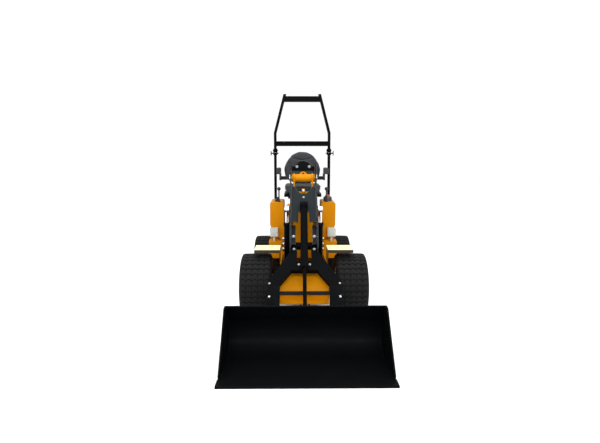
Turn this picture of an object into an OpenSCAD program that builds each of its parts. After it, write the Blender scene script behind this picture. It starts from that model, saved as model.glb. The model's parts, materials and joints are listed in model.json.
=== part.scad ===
// Mini loader with a ride-on seat, folding roll bar, lift boom and bucket.
// Millimetres, +Z up, the bucket points to -Y, origin on the floor at the middle of the outline.

/* [Wheels] */
// Outer radius of every tyre
tyre_r = 292; // [270:1:310]
// Width of every tyre
tyre_w = 290; // [250:1:300]
// Bead seat radius of the rims
rim_r = 152; // [140:1:165]
// Distance between the two front tyre centres
front_track = 860; // [850:2:900]
// Distance between the two rear tyre centres
rear_track = 770; // [764:2:800]
// Front axle place along the machine
front_axle_y = -94; // [-110:1:-80]
// Rear axle place along the machine
rear_axle_y = 850; // [840:1:880]
// Radius of the axle shafts
shaft_r = 32; // [25:1:36]

/* [Chassis] */
// Outside width over the two frame plates
frame_w = 430; // [410:2:440]
// Thickness of the frame plates
frame_t = 10; // [8:1:14]
// Height of the top edge of the frame plates
frame_top = 500; // [480:5:520]
// Height of the belly
belly_z = 190; // [170:5:210]
// Place of the nose's front face
nose_y = -470; // [-480:1:-455]
// Height of the foot plates
foot_z = 643; // [630:1:660]

/* [Tower and boom] */
// Place of the boom pivot along the machine
pivot_y = 210; // [200:1:220]
// Height of the boom pivot
pivot_z = 1265; // [1250:1:1280]
// Radius of the boom pivot pin
pivot_r = 22; // [18:1:26]
// Place of the boom's knee along the machine
knee_y = -600; // [-610:1:-590]
// Height of the boom's knee
knee_z = 454; // [445:1:465]
// Outside width over the boom's side plates
boom_w = 250; // [246:2:260]
// Thickness of the boom's side plates
boom_t = 12; // [10:1:14]
// Width of each fork leg
leg_w = 100; // [90:2:104]
// Outside width over the fork legs
fork_w = 610; // [600:2:620]

/* [Bucket] */
// Outside width of the bucket
bucket_w = 1180; // [1100:5:1185]
// Height of the bucket's top edge
bucket_h = 400; // [380:5:420]
// Outside radius of the bucket's heel
heel_r = 170; // [150:5:180]
// Thickness of the bucket's plates
bucket_t = 10; // [8:1:14]
// Place of the cutting edge's tip
edge_y = -1450; // [-1460:1:-1440]

/* [Cylinders] */
// Outside diameter of the tilt cylinder
tilt_d = 62; // [54:1:68]
// Outside diameter of the lift cylinders
lift_d = 56; // [48:1:60]
// Diameter of the piston rods
rod_d = 32; // [25:1:36]

/* [Seat and roll bar] */
// Height of the seat cushion's top
seat_z = 1181; // [1160:1:1200]
// Width of the seat cushion
seat_w = 410; // [380:2:430]
// Outside width of the roll bar
bar_w = 622; // [612:2:640]
// Height of the roll bar's top
bar_top = 2139; // [2100:1:2180]
// Height of the roll bar's fold
fold_z = 1535; // [1500:1:1560]
// Tube width of the roll bar seen from the front
tube_w = 28; // [24:1:34]
// Tube depth of the roll bar seen from the side
tube_d = 60; // [50:1:66]

/* [Hidden] */
$fn = 48;
gap = 0.3;
rear_end = -edge_y;
frame_x = frame_w/2;
frame_in = frame_x - frame_t;
axle_z = tyre_r;
bead_x = 122;
flange_h = 18;
wall_y = -150;
tower_back = 430;
tube_r = 38;
pin_head = 8;
pivot_rim = 12;

// Frame plates, walls and deck.
wall_t = 12;
rear_wall_y = 330;
deck_t = 10;
deck_rise = 40;
chin_y = nose_y + 60;
chin_z = 350;
chin_rise = 70;
tail_rise = 60;
axle_sleeve = 28;
hub_in = 70;
stub_out = 30;
cross_z = 440;

// Nose cover and its strip.
nose_t = 12;
nose_top_y = -262;
nose_z1 = 345;
nose_lip = 65;
lip_z = 262;
lip_t = 10;
strip_t = 8;
strip_h = 31;

// Tyre section and rim.
tyre_corner = 34;
tread_t = 25;
sidewall_t = 23;
cavity_corner = 30;
bead_t = 25;
groove_w = 8;
groove_d = 8;
groove_pitch = 56;
rim_t = 12;
flange_t = 8;
disc_t = 12;
hub_t = 26;
hub_w = 84;
hub_back = 60;
hand_hole_at = 100;
hand_hole_r = 16;

// Tower's plates and lugs.
tower_front = 150;
tower_gap = 5;
bow_y = 130;
bow_z = 900;
web_t = 15;
web_top = 1140;
web_lug_z = web_top + 3;
web_lug_r = 24;
web_lug_x = 14;
web_lug_h = 53;
tower_lug_t = 16;
tower_lug_z = 22;
tower_lug_r = 40;
tower_lug_x = 62;
lug_hole_r = 9;

// Foot plates and their brackets.
foot_x = 445;
foot_y0 = -200;
foot_y1 = 20;
foot_rim = 28;
foot_t = 6;
foot_top_t = 4;
bracket_z = 420;

// Boom frame: u runs from the pivot to the knee, n stands square to it, up and forward.
boom_angle = atan2(pivot_z - knee_z, pivot_y - knee_y);
boom_len = norm([pivot_z - knee_z, pivot_y - knee_y]);
function boom_pt(u, n) = [pivot_y - u*cos(boom_angle) - n*sin(boom_angle),
  pivot_z - u*sin(boom_angle) + n*cos(boom_angle)];
function boom_u(p) = -(p[0] - pivot_y)*cos(boom_angle) - (p[1] - pivot_z)*sin(boom_angle);
function boom_n(p) = -(p[0] - pivot_y)*sin(boom_angle) + (p[1] - pivot_z)*cos(boom_angle);
boom_x = boom_w/2;
boom_in = boom_x - boom_t;
boom_half = 70;
front_n = 38;
front_t = 12;
front_u0 = 150;
front_u1 = 560;
slot_u = 452;
slot_x = 48;
notch_x = [82, 64, 28];
boom_eye_r = 64;
boom_shoulder = 140;
inner_rail_w = 40;
inner_rail_len = 200;
inner_rail_t = 12;
notch_u = 85;
tower_x = boom_in - 18;
tower_t = 15;
fork_x = fork_w/2;
leg_in = fork_x - leg_w;
fork_n0 = -100;
fork_n1 = -42;
crotch_u = 1000;
knee_lip = 5;
beam_end = 800;
head_back = 52;
head_low = 65;
head_high = 160;
head_y = pivot_y + head_back;
head_z0 = pivot_z + head_low;
head_z1 = pivot_z + head_high;
head_t = 12;
head_h = 50;
arch_r = 85;
crotch_x = 110;
fork_slot_x = 32;
fork_slot_w = 30;
fork_slot_len = 150;
leg_eye_r = 42;

// Coupler hinge B and tilt pin C, with the arm between them.
hinge_y = -660;
hinge_z = 170;
hinge_r = 20;
tilt_pin = [-709, 280];
plate_y = -818;
hitch_y = -842;
lug_t = 12;
lug_gap = 5;
coupler_x = fork_x + lug_gap + lug_t + 18;
coupler_z0 = 60;
coupler_z1 = 325;
lug_r = 40;
lug_rise = 140;
coupler_ear_gap = 8;
hinge_rim = 8;
window_x0 = 90;
window_x1 = 170;
window_in = 60;

// Tilt cylinder: top pin T on the boom.
tilt_top = [-155, 1047];
tilt_vec = tilt_pin - tilt_top;
tilt_len = norm(tilt_vec);
tilt_turn = 180 - atan2(-tilt_vec[0], -tilt_vec[1]);
tilt_barrel_end = 600;
tilt_rod_in = 204;
tilt_rod_foot = tilt_barrel_end - tilt_rod_in;

// Lift cylinders: foot pin D on the frame, head pin E on the boom.
lift_reach = 360;
lift_angle = 50;
lift_foot = [120, 300];
lift_head = [pivot_y - lift_reach*cos(lift_angle), pivot_z - lift_reach*sin(lift_angle)];
lift_vec = lift_head - lift_foot;
lift_len = norm(lift_vec);
lift_turn = atan2(-lift_vec[0], lift_vec[1]);
lift_x = 155;
lift_barrel_end = 570;
lift_rod_foot = 94;
barrel_start = 50;
barrel_wall = 6;
barrel_floor = 12;
barrel_cap = 20;
gland_len = 30;
gland_rim = 4;
piston_len = 16;

eye_w = 36;
eye_r = 30;
eye_pin_r = 14;
ear_t = 12;
ear_gap = 4;
lift_ear_r = eye_r + 6;
lift_ear_foot = 60;
lift_boss_r = 34;
lift_boss_t = lift_x - eye_w/2 - ear_gap - boom_x;

// Operator's place.
cross_y0 = 360;
cross_y1 = 545;
cross_x = 346;
shelf_z = 610;
console_y0 = 450;
console_y1 = 845;
console_x0 = 194;
console_x1 = 337;
console_z = 1003;
console_cut = 12;
console_mid = 560;
knee_cut_x = 24;
knee_cut_z = 765;
filler_at = [265, 600];
neck_h = 46;
neck_r = 40;
collar_h = 10;
collar_r = 30;
cap_h = 10;
cap_r = 24;
breather_at = [-265, 560];
breather_h = 22;
breather_r = 26;
breather_stem_h = 26;
breather_stem_r = 14;
lamp_x0 = 254;
lamp_x1 = 338;
lamp_y = 398;
lamp_d = 50;
lamp_h = 90;
lamp_corner = 8;
lamp_stem_w = 20;
lamp_stem_y = lamp_y + 14;
lamp_stem_d = 28;
lamp_stem_h = 46;
lever_at = [246, 520];
lever_lean = 8;
lever_h = 120;
lever_r = 7;
knob_r = 19;
lever_base_h = 12;
lever_base_r = 18;
valve_w = 65;
valve_gap = 20;
valve_y = 238;
valve_drop = 190;
valve_rise = 180;
port_y = 262;
port_r = 14;
port_rises = [60, 110, 160];
bar_x = bar_w/2;
bar_y = 900;
fold_y = bar_y + 12;
// Share of the hoop's height that stands upright below its kink.
kink_share = 191/604;
kink_z = fold_z + kink_share*(bar_top - fold_z);
post_z = 625;
bar_top_x = 204;
rail_rise = 48;
rail_h = 53;
rail_z0 = fold_z + rail_rise;
rail_z1 = rail_z0 + rail_h;
rail_d = 40;
top_rail_drop = 21;
top_rail_h = 59;
fold_ear_r = 22;
fold_ear_t = 8;
fold_ear_w = 40;
hoop_foot_h = 40;
fold_pin_r = 9;
fold_pin_over = 14;
post_drop = 34;
collar_drop = 50;
post_foot = 20;
post_flange = 10;

// Seat.
seat_y0 = 415;
seat_y1 = 830;
pan_z = 1062;
pan_t = 30;
back_y0 = seat_y1 + 5;
back_y1 = back_y0 + 100;
strut_y = back_y1 + 18;
pedestal_x = 95;
slide_x = 150;
slide_t = 22;
pan_x = 190;
strut_x0 = 60;
strut_x1 = 100;
strut_z = 1200;
strut_top = 1440;
cushion_corner = 60;
back_x = 210;
back_z0 = 1190;
back_z1 = 1420;
back_corner = 80;
dome_z = 1340;
dome_r = 193;
arm_x0 = 232;
arm_x1 = 278;
arm_y = 600;
arm_reach = 45;
arm_z0 = 1285;
arm_z1 = 1350;
arm_corner = 14;
arm_stem_w = 20;
arm_stem_z = 1210;
arm_bar_h = 40;

// Bucket's section: the heel's arc runs from the floor to the leaning back wall.
lean = 39.6;
heel_y = -1030;
heel_c = [heel_y, heel_r];
heel_end = heel_c + heel_r*[cos(lean), sin(lean)];
wall_len = (bucket_h - heel_end[1])/cos(lean);
wall_top = heel_end + wall_len*[-sin(lean), cos(lean)];
edge_len = 90;
edge_t = 16;
edge_over = 5;
floor_y = edge_y + edge_len;
cheek_top = 60;
cheek_h = 40;
rib_t = 12;
rib_x = 126;
rib_drop = 20;
rib_lean = 50;

// Engine bay.
bay_y = 965;
bulkhead_y = bay_y + wall_t;
engine_x = 150;
engine_y0 = 990;
engine_y1 = 1290;
engine_z = 620;
cylinder_x = 110;
cylinder_y0 = 1010;
cylinder_y1 = 1270;
cylinder_z = 780;
fin_x = 130;
fin_t = 12;
fin_pitch = 45;
fin_end = 30;
fin_in = 20;
pipe_x = 120;
pipe_len = 110;
pipe_r = 20;
pipe_t = 3;
pipe_floor = 20;
tail_z = 228;
belly_end = 1200;
hinge_w = 120;
knuckle_r = 8;
hinge_pin_r = 4;
hinge_pin_over = 10;
hinge_drop = 20;
knuckle_w = 40;
hood_y1 = 1330;
hood_z1 = 900;
hood_t = 8;
hood_cut_x = 50;
hood_cut_z = 60;
louvre_x = 140;
louvre_h = 16;
louvre_pitch = 34;
louvre_z0 = frame_top + 140;
louvre_z1 = hood_z1 - 80;
bumper_y0 = 1338;
hood_hinge = [bumper_y0 + 1, frame_top + 9];
bumper_y1 = 1385;
hitch_hole_r = 12.5;
hitch_t = 20;
hitch_z = 300;
hitch_x = 60;
hitch_in = 30;
bumper_x = 300;
bumper_z0 = 280;
bumper_drop = 20;
bumper_corner = 30;

yellow = "#f0a800";
black = "#1b1c1e";
steel = "#b9bcc0";

// Shared shapes

module block(x0, x1, y0, y1, z0, z1) {
  translate([x0, y0, z0]) cube([x1 - x0, y1 - y0, z1 - z0]);
}

// Outline given in Y and Z, drawn out along X.
module side_plate(x0, x1) {
  translate([x0, 0, 0]) rotate([90, 0, 90]) linear_extrude(x1 - x0) children();
}

// Outline given in X and Z, drawn out along Y.
module front_plate(y0, y1) {
  translate([0, y1, 0]) rotate([90, 0, 0]) linear_extrude(y1 - y0) children();
}

module rod_x(x0, x1, y, z, r) {
  translate([x0, y, z]) rotate([0, 90, 0]) cylinder(h = x1 - x0, r = r);
}

module both_sides() {
  children();
  mirror([1, 0, 0]) children();
}

module in_boom() {
  translate([0, pivot_y, pivot_z]) rotate([boom_angle, 0, 0]) children();
}

module round_rect(w, h, r) {
  translate([-w/2 + r, -h/2]) square([w - 2*r, h]);
  translate([-w/2, -h/2 + r]) square([w, h - 2*r]);
  for (x = [-1, 1], y = [-1, 1]) translate([x*(w/2 - r), y*(h/2 - r)]) circle(r);
}

// Round-cornered outline between two corners.
module round_box(x0, x1, y0, y1, r) {
  translate([(x0 + x1)/2, (y0 + y1)/2]) round_rect(x1 - x0, y1 - y0, r);
}

// Chassis

module frame_outline() {
  polygon([[chin_y, belly_z + chin_rise], [chin_y + 60, belly_z], [belly_end, belly_z],
    [bumper_y0, belly_z + tail_rise], [bumper_y0, frame_top], [cross_y1, frame_top],
    [cross_y1, frame_top + deck_rise], [cross_y0, frame_top + deck_rise], [cross_y0, frame_top],
    [nose_top_y + 2, frame_top], [chin_y, chin_z]]);
}

module chassis_frame() color(yellow) difference() {
  union() {
    both_sides() side_plate(frame_in, frame_x) frame_outline();
    block(-frame_in, frame_in, wall_y, wall_y + wall_t, belly_z + frame_t, frame_top);
    block(-frame_in, frame_in, rear_wall_y, rear_wall_y + wall_t, belly_z + frame_t, frame_top - deck_t);
    block(-frame_in, frame_in, cross_y1, bulkhead_y, frame_top - deck_t, frame_top);
    block(-frame_in, frame_in, bumper_y0 - wall_t, bumper_y0, belly_z + tail_rise, frame_top);
    front_plate(bay_y, bulkhead_y) hood_outline(0);
    both_sides() rod_x(hinge_w/2 + gap, hinge_w/2 + knuckle_w, hood_hinge[0], hood_hinge[1], knuckle_r);
    both_sides() block(hinge_w/2 + gap, hinge_w/2 + knuckle_w, hood_y1 + 1, bumper_y0,
      frame_top - hinge_drop, hood_hinge[1]);
    rod_x(-hinge_w/2 - hinge_pin_over, hinge_w/2 + hinge_pin_over, hood_hinge[0], hood_hinge[1],
      hinge_pin_r);
    both_sides() for (x = [lift_x - eye_w/2 - ear_gap - ear_t, lift_x + eye_w/2 + ear_gap])
      side_plate(x, x + ear_t) lift_ear_outline();
    both_sides() rod_x(lift_x - eye_w/2 - ear_gap - ear_t, lift_x + eye_w/2 + ear_gap + ear_t,
      lift_foot[0], lift_foot[1], eye_pin_r);
  }
  for (y = [front_axle_y, rear_axle_y]) rod_x(-frame_w, frame_w, y, axle_z, shaft_r + axle_sleeve);
}

module lift_ear_outline() {
  translate(lift_foot) circle(lift_ear_r);
  polygon([[lift_foot[0] - lift_ear_r, lift_foot[1]], [lift_foot[0] + lift_ear_r, lift_foot[1]],
    [lift_foot[0] + lift_ear_foot, belly_z + frame_t], [lift_foot[0] - lift_ear_foot, belly_z + frame_t]]);
}

module belly_plate() color(black)
  block(-frame_in, frame_in, nose_y + 125, belly_end, belly_z, belly_z + frame_t);

module nose_outline() {
  polygon([[nose_y - nose_lip, lip_z - lip_t], [nose_y - nose_lip, lip_z], [nose_y, lip_z],
    [nose_y, nose_z1], [nose_y + 14, nose_z1 + 27], [nose_y + 80, frame_top - 60],
    [nose_top_y - 38, frame_top - 2], [nose_top_y, frame_top], [wall_y, frame_top],
    [wall_y, frame_top - nose_t], [nose_top_y, frame_top - nose_t],
    [nose_top_y - 32, frame_top - nose_t - 2], [nose_y + 88, frame_top - 70],
    [nose_y + 24, nose_z1 + 19], [nose_y + nose_t, nose_z1 - 3], [nose_y + nose_t, lip_z + nose_t],
    [chin_y, lip_z + nose_t], [chin_y, lip_z - lip_t]]);
}

module nose_cover() color(yellow) side_plate(-frame_in + gap, frame_in - gap) nose_outline();

module nose_strip() color(black)
  block(-frame_x, frame_x, nose_y - strip_t, nose_y, nose_z1 - strip_h, nose_z1);

module cross_box() color(yellow) {
  both_sides() block(frame_x, cross_x, cross_y0, cross_y1, cross_z, shelf_z);
  block(-frame_x, frame_x, tower_back + tower_gap, cross_y1, frame_top + deck_rise, shelf_z);
}

// Boom tower: two uprights, a pivot boss and a front web with the grease lug.
module tower_outline() {
  difference() {
    union() {
      translate([pivot_y, pivot_z]) circle(tube_r + 6);
      polygon([[pivot_y - tube_r, pivot_z + 10], [pivot_y + tube_r + 4, pivot_z], [tower_back, frame_top],
        [tower_front, frame_top], [bow_y, bow_z]]);
    }
    translate([pivot_y, pivot_z]) circle(pivot_r);
  }
}

module boom_tower() color(yellow) {
  both_sides() side_plate(tower_x - tower_t, tower_x) tower_outline();
  difference() {
    union() {
      rod_x(-boom_in + 3, boom_in - 3, pivot_y, pivot_z, tube_r);
      front_plate(pivot_y - tower_lug_t/2, pivot_y + tower_lug_t/2) difference() {
        union() {
          translate([0, pivot_z + tower_lug_z]) circle(tower_lug_r);
          translate([-tower_lug_x, pivot_z]) square([2*tower_lug_x, tube_r - 4]);
        }
        translate([0, pivot_z + 2*tower_lug_z]) circle(lug_hole_r);
      }
    }
    rod_x(-boom_w, boom_w, pivot_y, pivot_z, pivot_r);
  }
  side_plate(-tower_x + tower_t, tower_x - tower_t)
    polygon([[tower_front, frame_top], [bow_y, bow_z], [bow_y + 10, web_top], [bow_y + 24, web_top],
      [bow_y + web_t, bow_z], [tower_front + web_t, frame_top]]);
  difference() {
    side_plate(-web_lug_x, web_lug_x) {
      translate([tower_front, web_lug_z]) circle(web_lug_r);
      translate([tower_front - 10, web_lug_z - web_lug_h]) square([2*web_t, web_lug_h]);
    }
    rod_x(-web_lug_x - 6, web_lug_x + 6, tower_front, web_lug_z, lug_hole_r);
  }
  block(-frame_in, frame_in, rear_wall_y + wall_t, tower_back, frame_top - deck_t, frame_top);
  block(-tower_x, tower_x, tower_front, rear_wall_y + wall_t, frame_top - deck_t, frame_top);
}

module boom_pivot_pin() color(steel) {
  rod_x(-boom_x - gap, boom_x + gap, pivot_y, pivot_z, pivot_r);
  both_sides() rod_x(boom_x + gap, boom_x + gap + pin_head, pivot_y, pivot_z, pivot_r + pivot_rim);
}

module footplates() color(yellow) both_sides() {
  difference() {
    block(frame_x, foot_x, foot_y0, foot_y1, foot_z - foot_rim, foot_z);
    block(frame_x + foot_t, foot_x - foot_t, foot_y0 + foot_t, foot_y1 + 10,
      foot_z - foot_rim - 12, foot_z - foot_top_t);
  }
  side_plate(frame_x, frame_x + foot_t)
    polygon([[foot_y0, foot_z - foot_top_t], [foot_y1, foot_z - foot_top_t],
      [foot_y1 + 40, bracket_z], [foot_y0 + 60, bracket_z]]);
}

module console_outline(cut) {
  top = [[console_x0, shelf_z], [console_x0, console_z - console_cut], [console_x0 + console_cut, console_z],
    [console_x1 - console_cut, console_z], [console_x1, console_z - console_cut]];
  foot = cut ? [[console_x1, knee_cut_z], [console_x0 + knee_cut_x, shelf_z]] : [[console_x1, shelf_z]];
  polygon(concat(top, foot));
}

module consoles() color(yellow) both_sides() {
  front_plate(console_y0, console_mid) console_outline(true);
  front_plate(console_mid, console_y1) console_outline(false);
}

module filler_cap() {
  color("#6f7479") translate([filler_at[0], filler_at[1], console_z]) {
    cylinder(h = neck_h, r = neck_r);
    translate([0, 0, neck_h]) cylinder(h = collar_h, r = collar_r);
  }
  color("#d5392b") translate([filler_at[0], filler_at[1], console_z + neck_h + collar_h])
    cylinder(h = cap_h, r = cap_r);
}

module breather() color(black) translate([breather_at[0], breather_at[1], console_z]) {
  cylinder(h = breather_h, r = breather_r);
  translate([0, 0, breather_h]) cylinder(h = breather_stem_h, r = breather_stem_r);
}

module work_lamps() color("#9ca3a6") both_sides() {
  lamp_x = (lamp_x0 + lamp_x1)/2;
  lamp_z = shelf_z + lamp_stem_h;
  front_plate(lamp_y, lamp_y + lamp_d) round_box(lamp_x0, lamp_x1, lamp_z, lamp_z + lamp_h, lamp_corner);
  block(lamp_x - lamp_stem_w/2, lamp_x + lamp_stem_w/2, lamp_stem_y, lamp_stem_y + lamp_stem_d,
    shelf_z, lamp_z);
}

module control_levers() color(black) both_sides() {
  translate([lever_at[0], lever_at[1], console_z + lever_base_h/2]) rotate([lever_lean, 0, 0]) {
    cylinder(h = lever_h, r = lever_r);
    translate([0, 0, lever_h + knob_r - lever_r]) sphere(knob_r);
  }
  translate([lever_at[0], lever_at[1], console_z]) cylinder(h = lever_base_h, r = lever_base_r);
}

module valve_block() color(steel) {
  valve_x = frame_in - valve_gap;
  both_sides() block(valve_x - valve_w, valve_x, valve_y, rear_wall_y, frame_top - valve_drop,
    frame_top + valve_rise);
  both_sides() for (rise = port_rises) rod_x(valve_x, frame_in, port_y, frame_top + rise, port_r);
}

// Axle housings with a round shaft at each end.
module axles() color(black) for (a = [[front_axle_y, front_track], [rear_axle_y, rear_track]]) {
  rod_x(-frame_in + gap, frame_in - gap, a[0], axle_z, shaft_r + axle_sleeve);
  both_sides() {
    rod_x(frame_in - gap, a[1]/2 - hub_in, a[0], axle_z, shaft_r + axle_sleeve - gap);
    rod_x(a[1]/2 - hub_in, a[1]/2 + stub_out, a[0], axle_z, shaft_r);
  }
}

// Wheels, drawn at the origin with the outside face towards +X.

module tyre_section() {
  difference() {
    translate([(rim_r + tyre_r)/2, 0]) round_rect(tyre_r - rim_r, tyre_w, tyre_corner);
    translate([(rim_r + tyre_r)/2, 0])
      round_rect(tyre_r - rim_r - 2*tread_t, tyre_w - 2*sidewall_t, cavity_corner);
    translate([rim_r - 5, -bead_x + bead_t]) square([60, 2*bead_x - 2*bead_t]);
    for (s = [-1, 1]) translate([rim_r - 5, s*(bead_x + 30) - 30]) square([flange_h + 5, 60]);
    for (i = [-1.5 : 1 : 1.5])
      translate([tyre_r - groove_d, i*groove_pitch - groove_w/2]) square([groove_d + 12, groove_w]);
  }
}

module tyre() rotate([0, 90, 0]) rotate_extrude($fn = 72) tyre_section();

module rim() difference() {
  rotate([0, 90, 0]) rotate_extrude($fn = 72) {
    for (s = [-1, 1]) translate([rim_r - rim_t, s*(bead_x + gap + flange_t/2) - flange_t/2])
      square([rim_t + flange_h - gap, flange_t]);
    translate([rim_r - rim_t, -bead_x - 1]) square([rim_t - gap, 2*bead_x + 2]);
    translate([shaft_r + gap, -disc_t/2]) square([rim_r - rim_t - shaft_r - gap, disc_t]);
    translate([shaft_r + gap, -hub_back]) square([hub_t, hub_w]);
  }
  for (a = [0 : 72 : 288]) rotate([a, 0, 0]) translate([-20, 0, hand_hole_at])
    rotate([0, 90, 0]) cylinder(h = 40, r = hand_hole_r);
}

module wheel_at(side, y, track)
  translate([side*track/2, y, axle_z]) rotate([0, 0, side > 0 ? 0 : 180]) children();

module front_left_tyre() color(black) wheel_at(-1, front_axle_y, front_track) tyre();
module front_left_rim() color(steel) wheel_at(-1, front_axle_y, front_track) rim();
module front_right_tyre() color(black) wheel_at(1, front_axle_y, front_track) tyre();
module front_right_rim() color(steel) wheel_at(1, front_axle_y, front_track) rim();
module rear_left_tyre() color(black) wheel_at(-1, rear_axle_y, rear_track) tyre();
module rear_left_rim() color(steel) wheel_at(-1, rear_axle_y, rear_track) rim();
module rear_right_tyre() color(black) wheel_at(1, rear_axle_y, rear_track) tyre();
module rear_right_rim() color(steel) wheel_at(1, rear_axle_y, rear_track) rim();

// Seat

module seat_pedestal() color(black) {
  block(-pedestal_x, pedestal_x, cross_y1 + 15, seat_y1 - 40, frame_top, pan_z - slide_t);
  block(-slide_x, slide_x, seat_y0 + 55, seat_y1, pan_z - slide_t, pan_z);
}

module seat_frame() color(black) {
  block(-pan_x, pan_x, seat_y0 + 15, seat_y1, pan_z, pan_z + pan_t);
  both_sides() block(strut_x0, strut_x1, seat_y1, strut_y, pan_z, pan_z + pan_t);
  both_sides() block(strut_x0, strut_x1, back_y1, strut_y, pan_z + pan_t, strut_z);
  block(-strut_x1, strut_x1, back_y1, strut_y, strut_z, strut_top);
}

module seat_cushion() color(black) translate([0, 0, pan_z + pan_t + gap])
  linear_extrude(seat_z - pan_z - pan_t - gap)
    round_box(-seat_w/2, seat_w/2, seat_y0, seat_y1, cushion_corner);

module seat_back() color(black) front_plate(back_y0, back_y1 - gap)
  union() {
    round_box(-back_x, back_x, back_z0, back_z1, back_corner);
    translate([0, dome_z]) circle(dome_r);
  }

module armrests() color(black) both_sides() {
  front_plate(arm_y, back_y0 + arm_reach) round_box(arm_x0, arm_x1, arm_z0, arm_z1, arm_corner);
  block(arm_x0, arm_x0 + arm_stem_w, seat_y1, strut_y, arm_stem_z, arm_z0);
  block(strut_x1, arm_x0, back_y1 + 2, strut_y, arm_stem_z, arm_stem_z + arm_bar_h);
}

// Roll bar

module rollbar_posts() color(black) both_sides() {
  difference() {
    union() {
      block(bar_x - tube_w, bar_x, bar_y - tube_d/2, bar_y + tube_d/2, post_z, fold_z - post_drop);
      side_plate(bar_x - tube_w - fold_ear_t, bar_x - tube_w) fold_ear();
      side_plate(bar_x, bar_x + fold_ear_t) fold_ear();
      block(bar_x - tube_w - fold_ear_t, bar_x + fold_ear_t, bar_y - tube_d/2 - 4, bar_y + tube_d/2,
        fold_z - collar_drop, fold_z - post_drop);
    }
    rod_x(bar_x - 60, bar_x + 60, fold_y, fold_z, fold_pin_r + gap);
  }
  foot_d = tube_d/2 + post_flange;
  block(frame_in, bar_x, bar_y - foot_d, bar_y + foot_d, post_z - post_foot, post_z);
  block(frame_in, frame_x, bar_y - foot_d, bar_y + foot_d, frame_top, post_z - post_foot);
}

module fold_ear() {
  translate([fold_y, fold_z]) circle(fold_ear_r);
  translate([fold_y - fold_ear_r, fold_z - collar_drop]) square([fold_ear_w, collar_drop]);
}

module rollbar_hoop() color(black) {
  both_sides() {
    side_plate(bar_x - tube_w + 1, bar_x - 1) {
      translate([fold_y, fold_z]) circle(fold_ear_r);
      translate([bar_y - tube_d/2, fold_z]) square([tube_d, hoop_foot_h]);
    }
    front_plate(bar_y - tube_d/2, bar_y + tube_d/2) polygon([[bar_x, fold_z + 30], [bar_x, kink_z],
      [bar_top_x, bar_top], [bar_top_x - tube_w - 1, bar_top], [bar_x - tube_w, kink_z - 4],
      [bar_x - tube_w, fold_z + 30]]);
    rod_x(bar_x - tube_w - fold_pin_over, bar_x + fold_pin_over, fold_y, fold_z, fold_pin_r);
  }
  top_rail_z = bar_top - top_rail_drop;
  block(-bar_x + tube_w, bar_x - tube_w, bar_y - rail_d/2, bar_y + rail_d/2, rail_z0, rail_z1);
  block(-bar_top_x + 4, bar_top_x - 4, bar_y - rail_d/2, bar_y + rail_d/2,
    top_rail_z - top_rail_h, top_rail_z);
}

// Engine bay

module engine_block() color("#4a4d50") {
  block(-engine_x, engine_x, engine_y0, engine_y1, belly_z + frame_t, engine_z);
  block(-cylinder_x, cylinder_x, cylinder_y0, cylinder_y1, engine_z, cylinder_z);
  for (y = [cylinder_y0 + fin_end : fin_pitch : cylinder_y1 - fin_end])
    block(-fin_x, fin_x, y, y + fin_t, engine_z + fin_in, cylinder_z - fin_in);
}

// Cross section of the hood, drawn o inside its outer face.
module hood_outline(o) {
  polygon([[-frame_x + o, frame_top - o], [frame_x - o, frame_top - o],
    [frame_x - o, hood_z1 - hood_cut_z - o/2], [frame_x - hood_cut_x - o/2, hood_z1 - o],
    [-frame_x + hood_cut_x + o/2, hood_z1 - o], [-frame_x + o, hood_z1 - hood_cut_z - o/2]]);
}

module engine_hood() color(yellow) {
  difference() {
    front_plate(bulkhead_y + gap, hood_y1) hood_outline(0);
    front_plate(bay_y, hood_y1 - hood_t) hood_outline(hood_t);
    block(-frame_w, frame_w, bay_y, hood_y1 + 20, 0, frame_top + gap);
    for (z = [louvre_z0 : louvre_pitch : louvre_z1])
      block(-louvre_x, louvre_x, hood_y1 - 20, hood_y1 + 20, z, z + louvre_h);
  }
  difference() {
    union() {
      rod_x(-hinge_w/2, hinge_w/2, hood_hinge[0], hood_hinge[1], knuckle_r);
      block(-hinge_w/2, hinge_w/2, hood_y1, hood_hinge[0], hood_hinge[1] - 4, hood_hinge[1] + knuckle_r);
    }
    rod_x(-hinge_w, hinge_w, hood_hinge[0], hood_hinge[1], hinge_pin_r + gap);
  }
}

module exhaust() color("#5a5c5e") translate([pipe_x, engine_y1, tail_z]) rotate([-90, 0, 0]) difference() {
  cylinder(h = pipe_len, r = pipe_r);
  translate([0, 0, pipe_floor]) cylinder(h = pipe_len - 10, r = pipe_r - pipe_t);
}

module rear_bumper() color(black) {
  difference() {
    union() {
      front_plate(bumper_y0, bumper_y1) 
        round_box(-bumper_x, bumper_x, bumper_z0, frame_top - bumper_drop, bumper_corner);
      block(-hitch_x, hitch_x, bumper_y1, rear_end, hitch_z, hitch_z + hitch_t);
    }
    translate([0, rear_end - hitch_in, hitch_z - 1]) cylinder(h = hitch_t + 2, r = hitch_hole_r);
  }
}

// Boom

module beam_outline() {
  difference() {
    union() {
      circle(boom_eye_r);
      polygon([[0, -boom_eye_r], [0, boom_eye_r], [-boom_shoulder, boom_half], [-beam_end + 60, 40],
        [-beam_end, 0], [-beam_end, fork_n0], [-beam_end + 120, fork_n0], [-boom_shoulder, -boom_half]]);
    }
    circle(pivot_r + gap);
  }
}

// Raised ears behind the pivot and the arched plate between them.
module head_ear() polygon([[pivot_y - 30, pivot_z + 50], [head_y - 10, head_z1], [head_y + 22, head_z1],
  [head_y + 36, head_z1 - 32], [pivot_y + 60, pivot_z + 10]]);

module boom_head() {
  both_sides() side_plate(boom_in, boom_x) difference() {
    head_ear();
    translate([pivot_y, pivot_z]) circle(pivot_r + 20);
  }
  front_plate(head_y, head_y + head_t) {
    translate([-boom_in, head_z0]) square([2*boom_in, head_h]);
    intersection() {
      translate([0, head_z0 + 15]) circle(arch_r);
      translate([-arch_r, head_z0]) square([2*arch_r, 2*arch_r]);
    }
  }
}

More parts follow.
